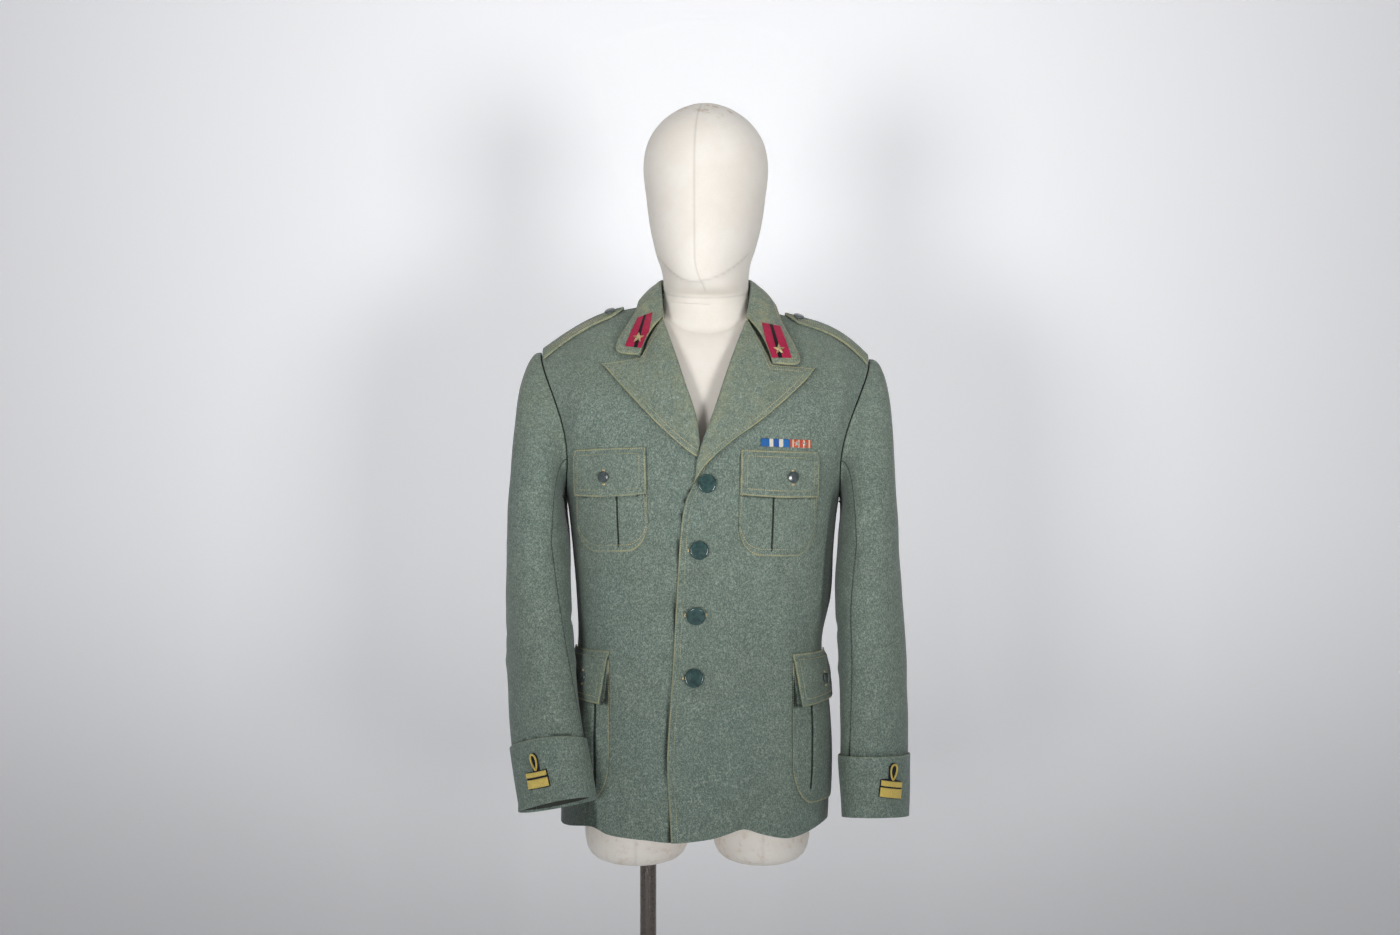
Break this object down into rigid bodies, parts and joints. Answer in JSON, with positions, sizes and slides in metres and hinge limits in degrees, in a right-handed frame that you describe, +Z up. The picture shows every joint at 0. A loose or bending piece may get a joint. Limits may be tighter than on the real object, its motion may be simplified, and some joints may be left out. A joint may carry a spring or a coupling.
{
  "type": "officer jacket on a dress form",
  "caption": "Buttoned wool officer jacket with peaked lapels, patch pockets, shoulder straps and turned-back cuffs, on a limbless dress form with a head, pole and round base.",
  "frame": {"origin": "centre of the round base's underside, on the floor", "axes": "+Z up, the jacket's front faces -Y and the wearer's left side is +X"},
  "size_m": [0.5375, 0.38, 1.8312],
  "materials": {
    "wool": "grey-green wool melton with a short nap and mottled light and dark fibres",
    "crimson_felt": "crimson felt with a black centre stripe",
    "navy_felt": "dark navy felt",
    "gold_thread": "yellow embroidery thread",
    "star_metal": "pale brass, faceted",
    "blue_ribbon": "blue ribbed silk with two cream stripes",
    "orange_ribbon": "orange-red and cream striped ribbed silk with two small pale stars",
    "front_button": "glossy dark green-blue, domed",
    "small_button": "dark, domed",
    "form_cover": "ivory cotton cover, lightly stained at the crown",
    "pole_steel": "dark polished steel",
    "base_steel": "satin steel plate"
  },
  "bodies": {
    "root": {"back": "wool", "front_left": "wool", "front_right": "wool", "sleeve_top_left": "wool", "sleeve_top_right": "wool", "sleeve_under_left": "wool", "sleeve_under_right": "wool", "cuff_left": "wool", "cuff_right": "wool", "collar": "wool", "lapel_left": "wool", "lapel_right": "wool", "shoulder_strap_left": "wool", "shoulder_strap_right": "wool", "breast_pocket_left": "wool", "breast_pocket_right": "wool", "breast_flap_left": "wool", "breast_flap_right": "wool", "hip_pocket_left": "wool", "hip_pocket_right": "wool", "hip_flap_left": "wool", "hip_flap_right": "wool", "front_button_1": "front_button", "front_button_2": "front_button", "front_button_3": "front_button", "front_button_4": "front_button", "breast_button_left": "small_button", "breast_button_right": "small_button", "hip_button_left": "small_button", "hip_button_right": "small_button", "strap_button_left": "small_button", "strap_button_right": "small_button", "collar_patch_left": "crimson_felt", "collar_patch_right": "crimson_felt", "collar_star_left": "star_metal", "collar_star_right": "star_metal", "ribbon_blue": "blue_ribbon", "ribbon_orange": "orange_ribbon", "cuff_felt_left": "navy_felt", "cuff_felt_right": "navy_felt", "cuff_loop_left": "gold_thread", "cuff_loop_right": "gold_thread", "cuff_bar_thin_left": "gold_thread", "cuff_bar_thin_right": "gold_thread", "cuff_bar_thick_left": "gold_thread", "cuff_bar_thick_right": "gold_thread", "form_body": "form_cover", "form_head": "form_cover", "stand_pole": "pole_steel", "stand_base": "base_steel"}
  },
  "joints": []
}
